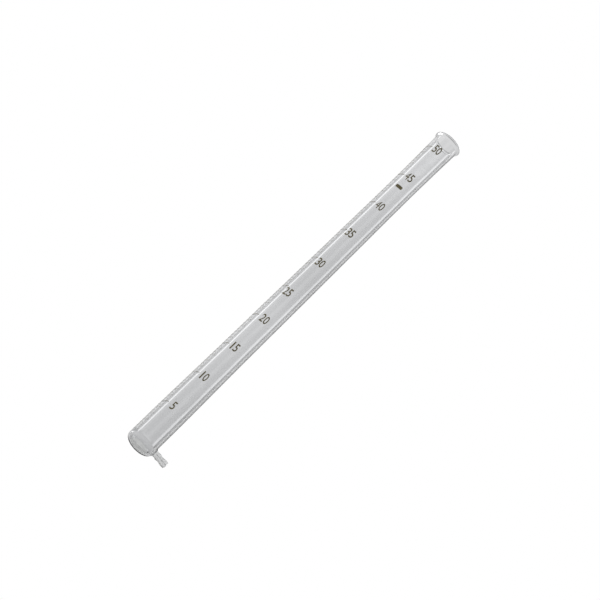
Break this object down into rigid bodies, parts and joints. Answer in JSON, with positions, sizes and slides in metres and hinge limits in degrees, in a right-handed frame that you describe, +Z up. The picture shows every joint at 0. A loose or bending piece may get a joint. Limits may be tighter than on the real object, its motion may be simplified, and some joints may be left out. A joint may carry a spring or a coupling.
{
  "type": "water clarity tube",
  "caption": "Tall clear glass cylinder with a flat floor, flared mouth, side drain nipple and fired enamel centimetre scale, for judging how clear a water sample is.",
  "frame": {"origin": "centre of the underside of the base, where the tube stands", "axes": "+Z up the tube's axis towards the mouth; +X out along the drain nipple"},
  "size_m": [0.0537, 0.0344, 0.5291],
  "materials": {
    "glass": "clear, fire polished, faint drawing lines",
    "enamel": "fired dark olive-brown enamel, semi-gloss"
  },
  "bodies": {
    "root": {"barrel": "glass", "base": "glass", "drain_nipple": "glass", "line_05_cm": "enamel", "numeral_05": "enamel", "line_10_cm": "enamel", "numeral_10_tens": "enamel", "numeral_10_units": "enamel", "line_15_cm": "enamel", "numeral_15_tens": "enamel", "numeral_15_units": "enamel", "line_20_cm": "enamel", "numeral_20_tens": "enamel", "numeral_20_units": "enamel", "line_25_cm": "enamel", "numeral_25_tens": "enamel", "numeral_25_units": "enamel", "line_30_cm": "enamel", "numeral_30_tens": "enamel", "numeral_30_units": "enamel", "line_35_cm": "enamel", "numeral_35_tens": "enamel", "numeral_35_units": "enamel", "line_40_cm": "enamel", "numeral_40_tens": "enamel", "numeral_40_units": "enamel", "line_45_cm": "enamel", "numeral_45_tens": "enamel", "numeral_45_units": "enamel", "line_50_cm": "enamel", "numeral_50_tens": "enamel", "numeral_50_units": "enamel", "blank_plate": "enamel"}
  },
  "joints": []
}
